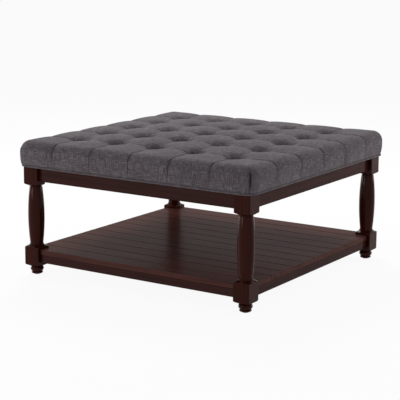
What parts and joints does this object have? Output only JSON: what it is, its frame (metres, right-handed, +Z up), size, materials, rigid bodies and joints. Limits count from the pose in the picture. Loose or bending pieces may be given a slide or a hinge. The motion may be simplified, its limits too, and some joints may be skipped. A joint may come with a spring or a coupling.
{
  "type": "ottoman coffee table",
  "caption": "Square coffee table with a deep buttoned cushion as its top, on turned wooden legs with an open planked shelf close to the floor.",
  "frame": {"origin": "on the floor below the middle of the table", "axes": "+Z up; the planks of the shelf run along X; the front, an apron side, faces -Y"},
  "size_m": [0.955, 0.955, 0.4899],
  "materials": {
    "upholstery": "slubby plain weave, matt",
    "foam": "open cell foam, matt",
    "steel": "zinc plated",
    "plywood": "unfinished",
    "dust_cloth": "non-woven, matt",
    "stained_wood": "dark stain under satin lacquer",
    "plain_wood": "unfinished",
    "glide_plastic": "matt"
  },
  "bodies": {
    "root": {"cushion_cover": "upholstery", "welt": "upholstery", "tuft_buttons": "upholstery", "foam_core": "foam", "deck_screws": "steel", "hanger_bolts": "steel", "hanger_washers": "steel", "hanger_nuts": "steel", "brace_screws": "steel", "deck_board": "plywood", "dust_cover": "dust_cloth", "leg_front_left": "stained_wood", "leg_front_right": "stained_wood", "leg_back_left": "stained_wood", "leg_back_right": "stained_wood", "apron_front": "stained_wood", "apron_back": "stained_wood", "apron_left": "stained_wood", "apron_right": "stained_wood", "shelf_rail_front": "stained_wood", "shelf_rail_back": "stained_wood", "shelf_rail_left": "stained_wood", "shelf_rail_right": "stained_wood", "shelf_plank_01": "stained_wood", "shelf_plank_02": "stained_wood", "shelf_plank_03": "stained_wood", "shelf_plank_04": "stained_wood", "shelf_plank_05": "stained_wood", "shelf_plank_06": "stained_wood", "shelf_plank_07": "stained_wood", "shelf_plank_08": "stained_wood", "shelf_plank_09": "stained_wood", "shelf_plank_10": "stained_wood", "shelf_plank_11": "stained_wood", "shelf_plank_12": "stained_wood", "corner_brace_front_left": "plain_wood", "corner_brace_front_right": "plain_wood", "corner_brace_back_left": "plain_wood", "corner_brace_back_right": "plain_wood", "shelf_batten_left": "plain_wood", "shelf_batten_right": "plain_wood", "apron_dowels": "plain_wood", "rail_dowels": "plain_wood", "foot_glides": "glide_plastic"}
  },
  "joints": []
}
